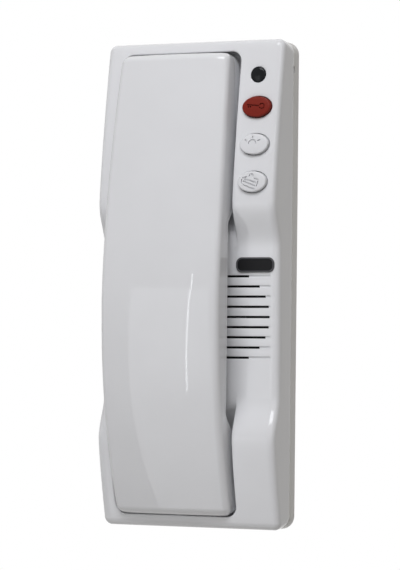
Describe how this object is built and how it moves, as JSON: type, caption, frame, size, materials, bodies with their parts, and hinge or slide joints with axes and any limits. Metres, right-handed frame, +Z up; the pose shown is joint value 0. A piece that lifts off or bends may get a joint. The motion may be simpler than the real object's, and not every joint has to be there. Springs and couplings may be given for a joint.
{
  "type": "audio intercom handset",
  "caption": "Wall intercom with a lift-off handset resting in two wells, a raised strip of oval push buttons with an indicator lens, a slotted speaker grille and a hook switch.",
  "frame": {"origin": "centre of the back plate's wall face", "axes": "+X to the right seen from the front, +Y into the wall, +Z up"},
  "size_m": [0.0884, 0.0401, 0.22],
  "materials": {
    "white_plastic": "glossy moulded ABS, cool white",
    "back_plastic": "satin moulded ABS, warm white",
    "plate_black": "glossy black, blank",
    "smoked_lens": "smoked clear lens",
    "led_red": "tinted epoxy",
    "circuit_board": "green solder mask",
    "dark_plastic": "moulded black",
    "grey_plastic": "moulded acetal",
    "terminal_green": "moulded",
    "steel": "zinc plated",
    "speaker_steel": "pressed and painted",
    "magnet": "ferrite",
    "cone_black": "coated paper",
    "capsule_metal": "drawn can",
    "rubber": "soft black",
    "red_plastic": "satin moulded red",
    "button_white": "satin moulded white"
  },
  "bodies": {
    "base": {"back_plate": "back_plastic", "front_cover": "white_plastic", "name_plate": "plate_black", "indicator_lens": "smoked_lens", "indicator_led": "led_red", "button_board": "circuit_board", "push_switches": "dark_plastic", "button_board_screws": "steel", "line_board": "circuit_board", "line_board_screws": "steel", "terminal_block": "terminal_green", "terminal_screws": "steel", "hook_microswitch": "dark_plastic", "hook_pin": "steel", "hook_spring": "steel", "speaker_frame": "speaker_steel", "speaker_magnet": "magnet", "speaker_cone": "cone_black", "speaker_screws": "steel", "cover_screws": "steel", "base_grommet": "rubber"},
    "handset": {"handset_front_shell": "white_plastic", "handset_rear_shell": "white_plastic", "receiver_gasket": "rubber", "receiver": "dark_plastic", "microphone_boot": "rubber", "microphone": "capsule_metal", "handset_screws": "steel", "handset_grommet": "rubber"},
    "hook": {"hook_lever": "grey_plastic"},
    "door_key": {"door_button": "red_plastic"},
    "light_key": {"light_button": "button_white"},
    "call_key": {"call_button": "button_white"}
  },
  "joints": [
    {"name": "handset_lift", "type": "slide", "parent": "base", "child": "handset", "axis": [0, -0.9962, 0.0872], "range_m": [0, 0.06]},
    {"name": "hook_swing", "type": "hinge", "parent": "base", "child": "hook", "pos_m": [-0.025, -0.009, 0.027], "axis": [1, 0, 0], "range_deg": [0, 12]},
    {"name": "door_press", "type": "slide", "parent": "base", "child": "door_key", "axis": [0, 1, 0], "range_m": [0, 0.0012], "stiffness_N_per_m": 400},
    {"name": "light_press", "type": "slide", "parent": "base", "child": "light_key", "axis": [0, 1, 0], "range_m": [0, 0.0012], "stiffness_N_per_m": 400},
    {"name": "call_press", "type": "slide", "parent": "base", "child": "call_key", "axis": [0, 1, 0], "range_m": [0, 0.0012], "stiffness_N_per_m": 400}
  ],
  "couplings": [
    {"joint": "hook_swing", "follows": "handset_lift", "rad_per_m": 3.49}
  ]
}
